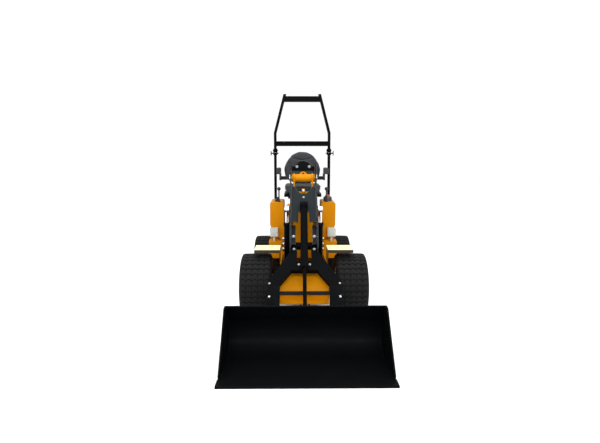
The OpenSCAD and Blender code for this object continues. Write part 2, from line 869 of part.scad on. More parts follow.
module boom_beam() color(black) {
  boom_head();
  in_boom() boom_box();
}

module boom_box() {
  both_sides() side_plate(boom_in, boom_x) beam_outline();
  difference() {
    translate([-boom_in, -front_u1, front_n]) cube([2*boom_in, front_u1 - front_u0, front_t]);
    translate([0, -front_u0, front_n - 1]) linear_extrude(front_t + 2)
      polygon([[-notch_x[0], 1], [notch_x[0], 1], [notch_x[1], -notch_u/2], [notch_x[2], -notch_u],
        [-notch_x[2], -notch_u], [-notch_x[1], -notch_u/2]]);
    translate([-slot_x, -front_u1 - 1, front_n - 1]) cube([2*slot_x, front_u1 - slot_u + 1, front_t + 2]);
  }
  both_sides() translate([boom_in - inner_rail_w, -beam_end + 40, -20])
    cube([inner_rail_w, inner_rail_len, inner_rail_t]);
  both_sides() rod_x(boom_x, boom_x + lift_boss_t, -lift_reach*cos(lift_angle - boom_angle),
    -lift_reach*sin(lift_angle - boom_angle), lift_boss_r);
}

// Fork: a wishbone in the boom's plane with a leg down to each coupler pin.
module fork_outline() {
  difference() {
    polygon([[-boom_in, -beam_end + 80], [boom_in, -beam_end + 80], [boom_in, -beam_end],
      [fork_x - knee_lip, -boom_len + 40], [fork_x - knee_lip, -boom_len], [knee_lip - fork_x, -boom_len],
      [knee_lip - fork_x, -boom_len + 40], [-boom_in, -beam_end]]);
    polygon([[-crotch_x, -crotch_u], [crotch_x, -crotch_u], [leg_in + knee_lip, -boom_len + 10],
      [leg_in + knee_lip, -boom_len - 1], [-leg_in - knee_lip, -boom_len - 1],
      [-leg_in - knee_lip, -boom_len + 10]]);
    for (x = [-fork_slot_x - fork_slot_w, fork_slot_x])
      translate([x, -crotch_u + 90]) square([fork_slot_w, fork_slot_len]);
  }
}

module leg_outline() {
  difference() {
    union() {
      translate([hinge_y, hinge_z]) circle(leg_eye_r);
      polygon([[hinge_y - leg_eye_r, hinge_z], [hinge_y + leg_eye_r, hinge_z],
        boom_pt(boom_len + knee_lip, fork_n0 - knee_lip), boom_pt(boom_len - 60, fork_n0 - knee_lip),
        boom_pt(boom_len - 60, fork_n1 + knee_lip),
        boom_pt(boom_len + knee_lip, fork_n1 + knee_lip)]);
    }
    translate([hinge_y, hinge_z]) circle(hinge_r + gap);
  }
}

module boom_fork() color(black) {
  in_boom() translate([0, 0, fork_n0]) linear_extrude(fork_n1 - fork_n0) fork_outline();
  both_sides() side_plate(leg_in, fork_x) leg_outline();
}

module tilt_clevis() color(black) {
  in_boom() both_sides() side_plate(eye_w/2 + ear_gap, eye_w/2 + ear_gap + ear_t) clevis_outline();
  rod_x(-eye_w/2 - ear_gap - ear_t, eye_w/2 + ear_gap + ear_t, tilt_top[0], tilt_top[1], eye_pin_r);
}

module clevis_outline() {
  u = boom_u(tilt_top);
  n = boom_n(tilt_top);
  translate([-u, n]) circle(eye_r);
  polygon([[-u - 28, front_n + front_t], [-u + 62, front_n + front_t], [-u + eye_r, n], [-u - eye_r, n]]);
}

// Hydraulic cylinders, drawn along +Z from the foot pin.

module barrel(end, d) difference() {
  union() {
    rotate([0, 90, 0]) cylinder(h = eye_w, r = eye_r, center = true);
    cylinder(h = barrel_start + 2, r = eye_w/2 - 1);
    translate([0, 0, barrel_start]) cylinder(h = end - barrel_start, r = d/2);
    translate([0, 0, end - gland_len]) cylinder(h = gland_len, r = d/2 + gland_rim);
  }
  rotate([0, 90, 0]) cylinder(h = eye_w + 2, r = eye_pin_r + gap, center = true);
  translate([0, 0, barrel_start + barrel_floor])
    cylinder(h = end - barrel_start - barrel_floor - barrel_cap, r = d/2 - barrel_wall);
  translate([0, 0, barrel_start + barrel_floor]) cylinder(h = end, r = rod_d/2 + gap);
}

module rod(foot, reach, d) {
  translate([0, 0, foot]) cylinder(h = reach - foot - eye_r + 4, r = rod_d/2);
  translate([0, 0, foot]) cylinder(h = piston_len, r = d/2 - barrel_wall - gap);
  translate([0, 0, reach]) rotate([0, 90, 0]) cylinder(h = eye_w, r = eye_r, center = true);
  translate([0, 0, reach]) rotate([0, 90, 0]) cylinder(h = eye_w + 6, r = eye_pin_r, center = true);
}

module at_lift() both_sides()
  translate([lift_x, lift_foot[0], lift_foot[1]]) rotate([lift_turn, 0, 0]) children();

module at_tilt() translate([0, tilt_top[0], tilt_top[1]]) rotate([tilt_turn, 0, 0]) children();

module lift_barrels() color(black) at_lift() barrel(lift_barrel_end, lift_d);
module lift_rods() color(steel) at_lift() rod(lift_rod_foot, lift_len, lift_d);
module tilt_barrel() color(black) at_tilt() barrel(tilt_barrel_end, tilt_d);
module tilt_rod() color(steel) at_tilt() rod(tilt_rod_foot, tilt_len, tilt_d);

// Coupler: a frame with two pairs of hinge lugs and a pair of ears for the tilt cylinder.
module lug_outline() {
  translate([hinge_y, hinge_z]) circle(lug_r);
  polygon([[hinge_y, hinge_z - lug_r], [hinge_y, hinge_z + lug_r], [plate_y, hinge_z + lug_rise],
    [plate_y, coupler_z0]]);
}

module ear_outline() {
  translate(tilt_pin) circle(eye_r);
  polygon([tilt_pin + [0, -eye_r], tilt_pin + [0, eye_r], [plate_y, tilt_pin[1] + 40],
    [plate_y, tilt_pin[1] - 120]]);
}

module coupler() color(black) {
  difference() {
    block(-coupler_x, coupler_x, hitch_y, plate_y, coupler_z0, coupler_z1);
    both_sides() block(window_x0, window_x1, hitch_y - 1, plate_y + 1,
      coupler_z0 + window_in, coupler_z1 - window_in);
  }
  both_sides() {
    for (x = [leg_in - lug_gap - lug_t, fork_x + lug_gap]) side_plate(x, x + lug_t) difference() {
      lug_outline();
      translate([hinge_y, hinge_z]) circle(hinge_r + gap);
    }
    side_plate(eye_w/2 + coupler_ear_gap, eye_w/2 + coupler_ear_gap + ear_t) ear_outline();
  }
}

module coupler_pins() color(steel) both_sides() {
  pin_x = fork_x + lug_gap + lug_t + gap;
  rod_x(leg_in - lug_gap - lug_t - gap, pin_x, hinge_y, hinge_z, hinge_r);
  rod_x(pin_x, pin_x + pin_head, hinge_y, hinge_z, hinge_r + hinge_rim);
}

// Bucket: floor, round heel and back wall, with side plates.
module heel_wedge() translate(heel_c) polygon([[0, 0], [0, -2*heel_r], [2*heel_r, -2*heel_r],
  2*heel_r*[cos(lean), sin(lean)]]);

module shell_section() {
  translate([floor_y, 0]) square([heel_c[0] - floor_y, bucket_t]);
  difference() {
    intersection() {
      translate(heel_c) circle(heel_r, $fn = 96);
      heel_wedge();
    }
    translate(heel_c) circle(heel_r - bucket_t, $fn = 96);
  }
  polygon([heel_end, wall_top, wall_top - bucket_t*[cos(lean), sin(lean)],
    heel_end - bucket_t*[cos(lean), sin(lean)]]);
}

module bucket_side() {
  polygon([[floor_y, 0], [heel_c[0], 0], heel_c, heel_end, wall_top, [wall_top[0] - cheek_top, wall_top[1]],
    [floor_y, cheek_h]]);
  intersection() {
    translate(heel_c) circle(heel_r, $fn = 96);
    heel_wedge();
  }
}

module bucket() color(black) {
  side_plate(-bucket_w/2 + bucket_t, bucket_w/2 - bucket_t) shell_section();
  both_sides() side_plate(bucket_w/2 - bucket_t, bucket_w/2) bucket_side();
  difference() {
    for (x = [-coupler_x, -rib_x, rib_x - rib_t, coupler_x - rib_t]) side_plate(x, x + rib_t)
      polygon([[heel_y, coupler_z0], [hitch_y, coupler_z0], [hitch_y, coupler_z1 - rib_drop],
        [heel_y + rib_lean, coupler_z1 - rib_drop]]);
    side_plate(-bucket_w, bucket_w) {
      translate(heel_c) circle(heel_r - bucket_t/2, $fn = 96);
      polygon([[heel_y - heel_r, 0], heel_c, heel_end - bucket_t/2*[cos(lean), sin(lean)],
        wall_top - bucket_t/2*[cos(lean), sin(lean)], [heel_y - heel_r, bucket_h + 200]]);
    }
  }
}

module cutting_edge() color(steel)
  block(-bucket_w/2 - edge_over, bucket_w/2 + edge_over, edge_y, floor_y, 0, edge_t);

chassis_frame();
belly_plate();
nose_cover();
nose_strip();
cross_box();
boom_tower();
boom_pivot_pin();
footplates();
consoles();
filler_cap();
breather();
work_lamps();
control_levers();
valve_block();
axles();
seat_pedestal();
seat_cushion();
seat_back();
seat_frame();
armrests();
rollbar_posts();
rollbar_hoop();
engine_block();
engine_hood();
exhaust();
rear_bumper();
front_left_tyre();
front_left_rim();
front_right_tyre();
front_right_rim();
rear_left_tyre();
rear_left_rim();
rear_right_tyre();
rear_right_rim();
boom_beam();
boom_fork();
tilt_clevis();
lift_barrels();
lift_rods();
tilt_barrel();
tilt_rod();
coupler();
coupler_pins();
bucket();
cutting_edge();
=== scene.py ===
# Looks of a mini loader: camera, studio, finishes, padded seat, tyre tread and fasteners around its solids.
import json
import math
from collections import defaultdict

import bmesh
import bpy
import numpy as np
from mathutils import Matrix, Vector


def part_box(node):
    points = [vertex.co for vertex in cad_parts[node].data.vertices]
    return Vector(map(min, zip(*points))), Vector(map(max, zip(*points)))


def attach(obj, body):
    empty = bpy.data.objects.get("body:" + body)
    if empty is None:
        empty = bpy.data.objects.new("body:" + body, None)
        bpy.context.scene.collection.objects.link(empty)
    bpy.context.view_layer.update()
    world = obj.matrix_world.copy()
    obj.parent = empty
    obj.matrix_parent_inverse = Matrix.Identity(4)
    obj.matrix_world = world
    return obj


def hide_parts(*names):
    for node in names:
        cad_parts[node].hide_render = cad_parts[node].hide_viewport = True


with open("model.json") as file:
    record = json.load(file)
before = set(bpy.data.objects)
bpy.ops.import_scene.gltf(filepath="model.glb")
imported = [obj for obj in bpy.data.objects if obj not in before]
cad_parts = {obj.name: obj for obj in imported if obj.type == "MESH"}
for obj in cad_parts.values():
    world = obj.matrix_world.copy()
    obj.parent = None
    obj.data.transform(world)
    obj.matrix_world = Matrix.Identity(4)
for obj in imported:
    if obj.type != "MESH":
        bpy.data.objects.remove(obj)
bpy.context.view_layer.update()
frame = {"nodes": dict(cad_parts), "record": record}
nodes = frame["nodes"]

# Camera, fitted to the picture's perspective
CAMERA_AT = (-0.0733, -4.15, 1.48)
CAMERA_PITCH = 8.34
CAMERA_YAW = 0.56
LENS_MM = 27.0
SENSOR_MM = 36.0
CLIP_END = 200.0

# Studio
FLOOR_SIZE = 60.0
FLOOR_DROP = 0.001
WORLD_STRENGTH = 1.03
# Name, place, aim, size and watts of each light
LIGHTS = (
    ("top_light", (0.0, 0.2, 5.2), (0.0, 0.2, 0.0), (5.0, 6.0), 190.0),
    ("front_light", (0.0, -5.0, 3.6), (0.0, -0.4, 0.4), (4.0, 1.6), 170.0),
    ("left_light", (-4.5, -2.5, 3.0), (0.0, 0.0, 0.9), (2.5, 3.0), 50.0),
    ("right_light", (4.5, -2.5, 3.0), (0.0, 0.0, 0.9), (2.5, 3.0), 50.0),
)

# Colours, linear
YELLOW = (0.50, 0.190, 0.001)
WORN_YELLOW = (0.34, 0.15, 0.01)
# Footplate colours: the light cream top is a painted highlight, the dark brown front edge is painted shade
CREAM_TOP_HIGHLIGHT = (0.93, 0.82, 0.42)
FRONT_EDGE_SHADE = (0.020, 0.011, 0.004)
BLACK = (0.0022, 0.0026, 0.0030)
WORN_BLACK = (0.030, 0.033, 0.036)
SLATE = (0.0125, 0.0160, 0.0180)
# Light edge colour of the slate paint: a painted highlight of plate edges catching light
SLATE_EDGE_HIGHLIGHT = (0.22, 0.235, 0.25)
RUBBER = (0.0060, 0.0061, 0.0063)
VINYL = (0.0165, 0.0190, 0.0220)
PLASTIC = (0.013, 0.013, 0.014)
STEEL = (0.50, 0.51, 0.54)
BOLT_STEEL = (0.34, 0.345, 0.36)
CHROME = (0.72, 0.73, 0.75)
LAMP_GREY = (0.46, 0.49, 0.45)
LENS_GREY = (0.52, 0.55, 0.52)
IRON = (0.06, 0.062, 0.066)
SILVER = (0.50, 0.51, 0.53)
WORN_SILVER = (0.30, 0.30, 0.31)
NECK_DARK = (0.07, 0.075, 0.08)
NECK_LIGHT = (0.11, 0.115, 0.12)
RED = (0.62, 0.035, 0.02)

# Heights where a finish changes its colour: the boom's head is black, and the filler's lid is red
HEAD_Z = 1.30
LID_HEIGHT = 0.0098

CORNERS = ("front_left", "front_right", "rear_left", "rear_right")


def make_camera():
    data = bpy.data.cameras.new("camera")
    data.lens = LENS_MM
    data.sensor_width = SENSOR_MM
    data.clip_end = CLIP_END
    camera = bpy.data.objects.new("camera", data)
    camera.location = CAMERA_AT
    camera.rotation_euler = (math.radians(90 - CAMERA_PITCH), 0.0, math.radians(-CAMERA_YAW))
    bpy.context.scene.collection.objects.link(camera)
    bpy.context.scene.camera = camera


def area_light(name, at, aim, size, watts):
    data = bpy.data.lights.new(name, "AREA")
    data.shape = "RECTANGLE"
    data.size, data.size_y = size
    data.energy = watts
    light = bpy.data.objects.new(name, data)
    light.location = at
    light.rotation_mode = "QUATERNION"
    light.rotation_quaternion = (Vector(aim) - Vector(at)).to_track_quat("-Z", "Y")
    bpy.context.scene.collection.objects.link(light)


def make_studio():
    world = bpy.data.worlds.new("studio")
    world.use_nodes = True
    background = world.node_tree.nodes["Background"]
    background.inputs["Color"].default_value = (1.0, 1.0, 1.0, 1.0)
    background.inputs["Strength"].default_value = WORLD_STRENGTH
    bpy.context.scene.world = world
    bpy.context.scene.view_settings.view_transform = "Standard"
    for light in LIGHTS:
        area_light(*light)
    mesh = bpy.data.meshes.new("floor")
    half = FLOOR_SIZE / 2
    corners = [(-half, -half, 0.0), (half, -half, 0.0), (half, half, 0.0), (-half, half, 0.0)]
    mesh.from_pydata(corners, [], [(0, 1, 2, 3)])
    floor = bpy.data.objects.new("floor", mesh)
    floor.location.z = -FLOOR_DROP
    floor.data.materials.append(floor_finish())
    bpy.context.scene.collection.objects.link(floor)


# Finishes


class Finish:
    """A node material with one Principled surface, built input by input in object space."""

    def __init__(self, name, **sockets):
        self.material = bpy.data.materials.new(name)
        self.material.use_nodes = True
        self.tree = self.material.node_tree
        self.surface = self.tree.nodes["Principled BSDF"]
        for socket, value in sockets.items():
            self.surface.inputs[socket.replace("_", " ")].default_value = value
        self.place = self.add("ShaderNodeTexCoord").outputs["Object"]

    def add(self, kind, **settings):
        node = self.tree.nodes.new(kind)
        for key, value in settings.items():
            setattr(node, key, value)
        return node

    def plug(self, socket, value):
        """Joins another node's output to a socket, or sets the socket to a colour or a number."""
        if isinstance(value, bpy.types.NodeSocket):
            self.tree.links.new(value, socket)
        elif socket.type == "RGBA":
            socket.default_value = (*value, 1.0)
        else:
            socket.default_value = value

    def feed(self, node, **values):
        for key, value in values.items():
            self.plug(node.inputs[key], value)
        return node

    def noise(self, scale, detail=4.0, roughness=0.55, place=None):
        node = self.add("ShaderNodeTexNoise")
        self.feed(node, Vector=place or self.place, Scale=scale, Detail=detail, Roughness=roughness)
        return node.outputs["Fac"]

    def cells(self, scale):
        node = self.feed(self.add("ShaderNodeTexVoronoi"), Vector=self.place, Scale=scale)
        return node.outputs["Distance"]

    def ramp(self, value, low, high, start=0.3, end=0.7):
        """Maps a value from start to end onto the greys or colours from low to high."""
        node = self.feed(self.add("ShaderNodeValToRGB"), Fac=value)
        for element, position, colour in zip(node.color_ramp.elements, (start, end), (low, high)):
            element.position = position
            shade = colour if isinstance(colour, tuple) else (colour,) * 3
            element.color = (*shade, 1.0)
        return node.outputs["Color"]

    def mix(self, share, first, second):
        node = self.add("ShaderNodeMix", data_type="RGBA")
        for number, value in ((0, share), (6, first), (7, second)):
            self.plug(node.inputs[number], value)
        return node.outputs[2]

    def math(self, operation, first, second):
        node = self.add("ShaderNodeMath", operation=operation)
        self.plug(node.inputs[0], first)
        self.plug(node.inputs[1], second)
        return node.outputs[0]

    def along(self, vector, name):
        """One coordinate of a vector."""
        split = self.feed(self.add("ShaderNodeSeparateXYZ"), Vector=vector)
        return split.outputs[name]

    def true_normal(self):
        return self.add("ShaderNodeNewGeometry").outputs["Normal"]

    def axis(self, name):
        return self.along(self.place, name)

    def facing(self, name):
        """How far the surface looks along an axis, from -1 to 1."""
        return self.along(self.true_normal(), name)

    def rounded(self, radius):
        """Normal with softened edges."""
        return self.feed(self.add("ShaderNodeBevel", samples=4), Radius=radius).outputs[0]

    def near_edge(self, rounded):
        """How near an edge the surface is, from its softened normal."""
        dot = self.add("ShaderNodeVectorMath", operation="DOT_PRODUCT")
        self.plug(dot.inputs[0], rounded)
        self.plug(dot.inputs[1], self.true_normal())
        return self.math("SUBTRACT", 1.0, dot.outputs["Value"])

    def bump(self, height, strength, distance, normal=None):
        node = self.feed(self.add("ShaderNodeBump"), Strength=strength, Distance=distance, Height=height)
        if normal is not None:
            self.plug(node.inputs["Normal"], normal)
        return node.outputs["Normal"]

    def set(self, colour=None, roughness=None, normal=None):
        inputs = {"Base Color": colour, "Roughness": roughness, "Normal": normal}
        for name, value in inputs.items():
            if value is not None:
                self.plug(self.surface.inputs[name], value)
        return self.material


def scaled(colour, factor):
    return tuple(channel * factor for channel in colour)


def floor_finish():
    finish = Finish("floor_finish", Roughness=0.6)
    return finish.set(colour=finish.ramp(finish.noise(0.4, 2.0), 0.975, 0.995))


def paint(name, colour, roughness, edge, edge_share, coat=0.0, specular=0.35, bevel=0.0025, upper=None):
    """Sprayed paint: orange peel, uneven gloss and worn edges; on the slate paint the light edge colour is
    a painted highlight where plate edges catch light.

    Where upper is given, as a colour and a height, the paint has that colour above that height.
    """
    finish = Finish(name, Coat_Weight=coat, Coat_Roughness=0.12, Specular_IOR_Level=specular)
    normal = finish.rounded(bevel)
    tone = finish.ramp(finish.noise(3.0, 5.0), scaled(colour, 0.90), scaled(colour, 1.06))
    if upper:
        upper_colour, height = upper
        tone = finish.mix(finish.math("GREATER_THAN", finish.axis("Z"), height), tone, upper_colour)
    # Spots along the edges take the edge colour: wear on most paints, a painted highlight on the slate
    # paint
    wear_and_glint_spots = finish.math("MULTIPLY", finish.near_edge(normal), finish.noise(45.0, 6.0))
    worn = finish.ramp(wear_and_glint_spots, 0.0, edge_share, 0.05, 0.16)
    body = finish.mix(worn, tone, edge)
    gloss = finish.ramp(finish.noise(9.0, 6.0), roughness * 0.8, roughness * 1.25, 0.25, 0.75)
    peel = finish.bump(finish.noise(260.0, 2.0), 0.06, 0.0006, normal)
    return finish.set(colour=body, roughness=gloss, normal=peel)


def footplate_finish():
    """Yellow paint with a gritted top face in light cream, a painted highlight, and painted shade in dark
    brown on the front edge.
    """
    finish = Finish("footplate_finish", Specular_IOR_Level=0.35)
    grit = finish.cells(420.0)
    top = finish.ramp(finish.facing("Z"), 0.0, 1.0, 0.80, 0.92)
    # The top face's light cream is a painted highlight, flecked by the grit cells
    pale_top_highlight = finish.mix(finish.ramp(grit, 0.0, 1.0, 0.1, 0.6), scaled(CREAM_TOP_HIGHLIGHT, 0.93), CREAM_TOP_HIGHLIGHT)
    # Faces looking forward get dark brown: painted shade on the front edge
    front = finish.math("LESS_THAN", finish.facing("Y"), -0.7)
    side = finish.mix(front, YELLOW, FRONT_EDGE_SHADE)
    body = finish.mix(top, side, pale_top_highlight)
    rough = finish.ramp(top, 0.35, 0.7, 0.0, 1.0)
    bumps = finish.bump(finish.math("MULTIPLY", grit, top), 0.35, 0.0012, finish.rounded(0.002))
    return finish.set(colour=body, roughness=rough, normal=bumps)


def rubber_finish():
    """Tyre rubber with a little dust."""
    finish = Finish("rubber_finish", Specular_IOR_Level=0.13)
    dust = finish.noise(14.0, 8.0, 0.65)
    body = finish.ramp(dust, scaled(RUBBER, 0.75), scaled(RUBBER, 1.5), 0.35, 0.75)
    rough = finish.ramp(dust, 0.62, 0.85, 0.3, 0.8)
    grain = finish.bump(finish.noise(700.0, 3.0), 0.25, 0.0006)
    return finish.set(colour=body, roughness=rough, normal=grain)


def vinyl_finish():
    """Grained seat cover with worn sheen."""
    finish = Finish("vinyl_finish", Specular_IOR_Level=0.25, Sheen_Weight=0.05, Sheen_Roughness=0.5)
    blotch = finish.noise(11.0, 5.0)
    body = finish.ramp(blotch, scaled(VINYL, 0.8), scaled(VINYL, 1.3), 0.3, 0.75)
    rough = finish.ramp(blotch, 0.42, 0.60)
    grain = finish.bump(finish.cells(950.0), 0.35, 0.0007)
    return finish.set(colour=body, roughness=rough, normal=grain)


def plastic_finish():
    """Moulded plastic with a fine spark-eroded grain."""
    finish = Finish("plastic_finish", Specular_IOR_Level=0.35)
    cloud = finish.noise(20.0, 4.0)
    body = finish.ramp(cloud, scaled(PLASTIC, 0.88), scaled(PLASTIC, 1.15))
    rough = finish.ramp(cloud, 0.425, 0.575)
    grain = finish.bump(finish.noise(600.0, 2.0), 0.2, 0.0005, finish.rounded(0.002))
    return finish.set(colour=body, roughness=rough, normal=grain)


def metal_finish(name, colour, roughness, stretch=(1.0, 40.0, 40.0)):
    """Bare metal, brushed along one axis."""
    finish = Finish(name, Metallic=1.0)
    mapping = finish.feed(finish.add("ShaderNodeMapping"), Scale=stretch, Vector=finish.place)
    brushed = finish.noise(12.0, 5.0, 0.6, mapping.outputs["Vector"])
    body = finish.ramp(brushed, scaled(colour, 0.78), scaled(colour, 1.1))
    rough = finish.ramp(brushed, roughness * 0.75, roughness * 1.3)
    scratches = finish.bump(brushed, 0.12, 0.0004, finish.rounded(0.0015))
    return finish.set(colour=body, roughness=rough, normal=scratches)


def cap_finish():
    """Grey tank neck with a red lid, which starts at a height on the cap."""
    _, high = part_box("filler_cap")
    finish = Finish("cap_finish", Specular_IOR_Level=0.4, Roughness=0.42)
    red = finish.math("GREATER_THAN", finish.axis("Z"), high.z - LID_HEIGHT)
    grey = finish.ramp(finish.noise(60.0, 3.0), NECK_DARK, NECK_LIGHT)
    grain = finish.bump(finish.noise(500.0, 2.0), 0.2, 0.0005)
    return finish.set(colour=finish.mix(red, grey, RED), normal=grain)


def lamp_finish():
    """Cast lamp housing."""
    finish = Finish("lamp_finish", Specular_IOR_Level=0.5)
    body = finish.ramp(finish.noise(30.0, 4.0), scaled(LAMP_GREY, 0.85), scaled(LAMP_GREY, 1.12))
    rough = finish.ramp(finish.noise(80.0, 3.0), 0.3, 0.45)
    cast = finish.bump(finish.noise(240.0, 3.0), 0.2, 0.0006, finish.rounded(0.003))
    return finish.set(colour=body, roughness=rough, normal=cast)


def lens_finish():
    """Moulded lamp lens, clouded a little."""
    finish = Finish("lens_finish", Specular_IOR_Level=0.5, Coat_Weight=0.4)
    cloud = finish.noise(50.0, 4.0)
    body = finish.ramp(cloud, scaled(LENS_GREY, 0.9), LENS_GREY)
    rough = finish.ramp(cloud, 0.12, 0.25)
    return finish.set(colour=body, roughness=rough)


def iron_finish():
    """Rough cast iron."""
    finish = Finish("iron_finish", Metallic=0.6, Specular_IOR_Level=0.4)
    cast = finish.noise(90.0, 6.0, 0.6)
    body = finish.ramp(cast, scaled(IRON, 0.7), scaled(IRON, 1.4))
    rough = finish.ramp(cast, 0.5, 0.75)
    return finish.set(colour=body, roughness=rough, normal=finish.bump(cast, 0.4, 0.001))


FINISHES = {
    "yellow_paint": paint("yellow_finish", YELLOW, 0.46, WORN_YELLOW, edge_share=0.5, specular=0.05),
    "black_paint": paint("black_finish", BLACK, 0.40, WORN_BLACK, edge_share=0.7, specular=0.02),
    "slate_paint": paint(
        "slate_finish",
        SLATE,
        0.40,
        # Light edge colour: painted highlight along the boom's plate edges
        SLATE_EDGE_HIGHLIGHT,
        edge_share=0.9,
        specular=0.04,
        bevel=0.007,
        upper=(BLACK, HEAD_Z),
    ),
    "rim_paint": paint("rim_finish", SILVER, 0.32, WORN_SILVER, edge_share=0.5, coat=0.3),
    "tyre_rubber": rubber_finish(),
    "bare_steel": metal_finish("steel_finish", STEEL, 0.36),
    "rod_chrome": metal_finish("chrome_finish", CHROME, 0.12),
    "seat_vinyl": vinyl_finish(),
    "black_plastic": plastic_finish(),
    "lamp_grey": lamp_finish(),
    "engine_iron": iron_finish(),
}
BOLT_FINISH = metal_finish("bolt_finish", BOLT_STEEL, 0.36, (30.0, 30.0, 30.0))


def finish_nodes():
    slots = {part["node"]: part["material_slot"] for part in frame["record"]["subparts"]}
    special = {
        "footplates": footplate_finish(),
        "filler_cap": cap_finish(),
        "boom_beam": FINISHES["slate_paint"],
        "tilt_rod": FINISHES["black_paint"],
        "cutting_edge": FINISHES["black_paint"],
    }
    for name, node in nodes.items():
        material = special.get(name) or FINISHES[slots[name]]
        node.data.materials.clear()
        node.data.materials.append(material)


# Pieces


def add_piece(name, mesh, material, body, smooth=True):
    piece = bpy.data.objects.new(name, mesh)
    bpy.context.scene.collection.objects.link(piece)
    mesh.materials.append(material)
    for polygon in mesh.polygons:
        polygon.use_smooth = smooth
    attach(piece, body)
    return piece


def mesh_from(form, name):
    bmesh.ops.recalc_face_normals(form, faces=form.faces)
    mesh = bpy.data.meshes.new(name)
    form.to_mesh(mesh)
    form.free()
    return mesh


def piece_from(form, name, material, body):
    return add_piece(name, mesh_from(form, name), material, body, smooth=False)


def bridge(form, lower, upper):
    """Closes the strip between two loops of as many points."""
    count = len(lower)
    for i in range(count):
        j = (i + 1) % count
        form.faces.new((lower[i], lower[j], upper[j], upper[i]))


def add_cone(form, segments, foot, top, depth, matrix):
    bmesh.ops.create_cone(
        form, cap_ends=True, segments=segments, radius1=foot, radius2=top, depth=depth, matrix=matrix
    )


# Tyres

TREAD_ROWS = 36
TREAD_COLUMNS = 5
TREAD_DEPTH = 0.009
TREAD_WAVE = 0.008
TREAD_GAP = 0.009
TREAD_MARGIN = 0.015
COLUMN_GAP = 0.0018
TREAD_STEPS = 7
BLOCK_ROOT = 0.001
BLOCK_CHAMFER = 0.0014
SHOULDER = 0.034
SHOULDER_IN = 0.006
CROWN_DROP = 0.003
CROWN_REACH = 0.93
CROWN_STEPS = 9
FLANGE_HEIGHT = 0.0177
TYRE_SEGMENTS = 108
# Sidewall from the bead up, as the way in from the tyre's side and the way up from the bead
SIDEWALL = (
    (0.046, 0.0),
    (0.023, 0.0),
    (0.022, 0.0185),
    (0.008, 0.026),
    (0.003, 0.044),
    (0.001, 0.052),
    (0.0005, 0.066),
    (0.003, 0.069),
    (0.0028, 0.090),
)


def crown_radius(across, radius, half):
    """Outer radius of the tyre at a place across its width: slightly crowned, with round shoulders."""
    edge = half - SHOULDER
    over = max(0.0, abs(across) - edge)
    drop = SHOULDER - math.sqrt(max(0.0, SHOULDER**2 - over**2))
    return radius - drop - CROWN_DROP * (across / half) ** 2


def carcass_profile(radius, half, bead):
    """Half of the tyre's section as (across, radius), from the bead to the crown."""
    points = [(half - inwards, bead + up) for inwards, up in SIDEWALL]
    points.append((half - SHOULDER_IN, radius - SHOULDER))
    for share in np.linspace(CROWN_REACH, 0.0, CROWN_STEPS):
        across = share * half
        points.append((across, crown_radius(across, radius, half) - TREAD_DEPTH))
    return points


def tyre_mesh(radius, half, bead):
    """A tyre about the X axis: carcass of revolution and wavy tread blocks in rows and columns."""
    form = bmesh.new()
    half_section = carcass_profile(radius, half, bead)
    section = half_section + [(-across, r) for across, r in reversed(half_section[:-1])]
    rings = []
    for k in range(TYRE_SEGMENTS):
        turn = 2 * math.pi * k / TYRE_SEGMENTS
        rings.append([form.verts.new((x, r * math.cos(turn), r * math.sin(turn))) for x, r in section])
    for k, ring in enumerate(rings):
        bridge(form, ring, rings[(k + 1) % TYRE_SEGMENTS])
    tread_width = 2 * (half - TREAD_MARGIN)
    column = tread_width / TREAD_COLUMNS
    pitch = 2 * math.pi / TREAD_ROWS
    for row in range(TREAD_ROWS):
        for c in range(TREAD_COLUMNS):
            start = -tread_width / 2 + c * column + COLUMN_GAP / 2
            add_block(form, radius, half, start, column - COLUMN_GAP, row * pitch, pitch)
    return mesh_from(form, "tyre")


def add_block(form, radius, half, start, width, turn, pitch):
    """One tread block with waved front and rear edges and a small chamfer on top."""
    levels = ((-TREAD_DEPTH - BLOCK_ROOT, 0.0), (-BLOCK_CHAMFER, 0.0), (0.0, BLOCK_CHAMFER))
    loops = []
    for depth, inset in levels:
        loop = []
        for side in (-1, 1):
            steps = range(TREAD_STEPS) if side < 0 else range(TREAD_STEPS - 1, -1, -1)
            for s in steps:
                share = s / (TREAD_STEPS - 1)
                across = start + inset + share * (width - 2 * inset)
                wave = TREAD_WAVE * math.cos(2 * math.pi * share) + 0.5 * TREAD_GAP
                reach = crown_radius(across, radius, half) + depth
                length = pitch * radius / 2 - TREAD_GAP / 2 - inset
                angle = turn + (side * length + wave) / radius
                loop.append(form.verts.new((across, reach * math.cos(angle), reach * math.sin(angle))))
        loops.append(loop)
    for lower, upper in zip(loops, loops[1:]):
        bridge(form, lower, upper)
    top = loops[-1]
    for s in range(TREAD_STEPS - 1):
        form.faces.new((top[s], top[s + 1], top[-2 - s], top[-1 - s]))


def make_tyres():
    for corner in CORNERS:
        low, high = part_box(corner + "_tyre")
        rim_low, rim_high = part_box(corner + "_rim")
        bead = (rim_high.z - rim_low.z) / 2 - FLANGE_HEIGHT
        mesh = tyre_mesh((high.z - low.z) / 2, (high.x - low.x) / 2, bead)
        mesh.transform(Matrix.Translation((low + high) / 2))
        rubber = FINISHES["tyre_rubber"]
        tyre = add_piece(corner + "_tread_tyre", mesh, rubber, corner + "_wheel", smooth=False)
        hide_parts(corner + "_tyre")


# Padded seat

PAD_VOXEL = 0.006
PAD_PRESSURE = 4.0
PAD_FRAMES = 20
PAD_QUALITY = 6
PAD_CAP = 0.012
TAPER_END = 0.5
NO_LENGTH = 1e-9
# Places of the seams
WELT_DROP = 0.022
CHANNEL_X = 0.105
PANEL_DROP = 0.100
PANEL_RISE = 0.047
PANEL_HALF = 0.150
BOLSTER_X = 0.128
# Width and depth of the seams
WELT = (0.005, 0.005)
CHANNEL = (0.007, 0.006)
PANEL = (0.007, 0.008)
SIDE_SEAM = (0.005, 0.004)
BOLSTER = (0.008, 0.009)


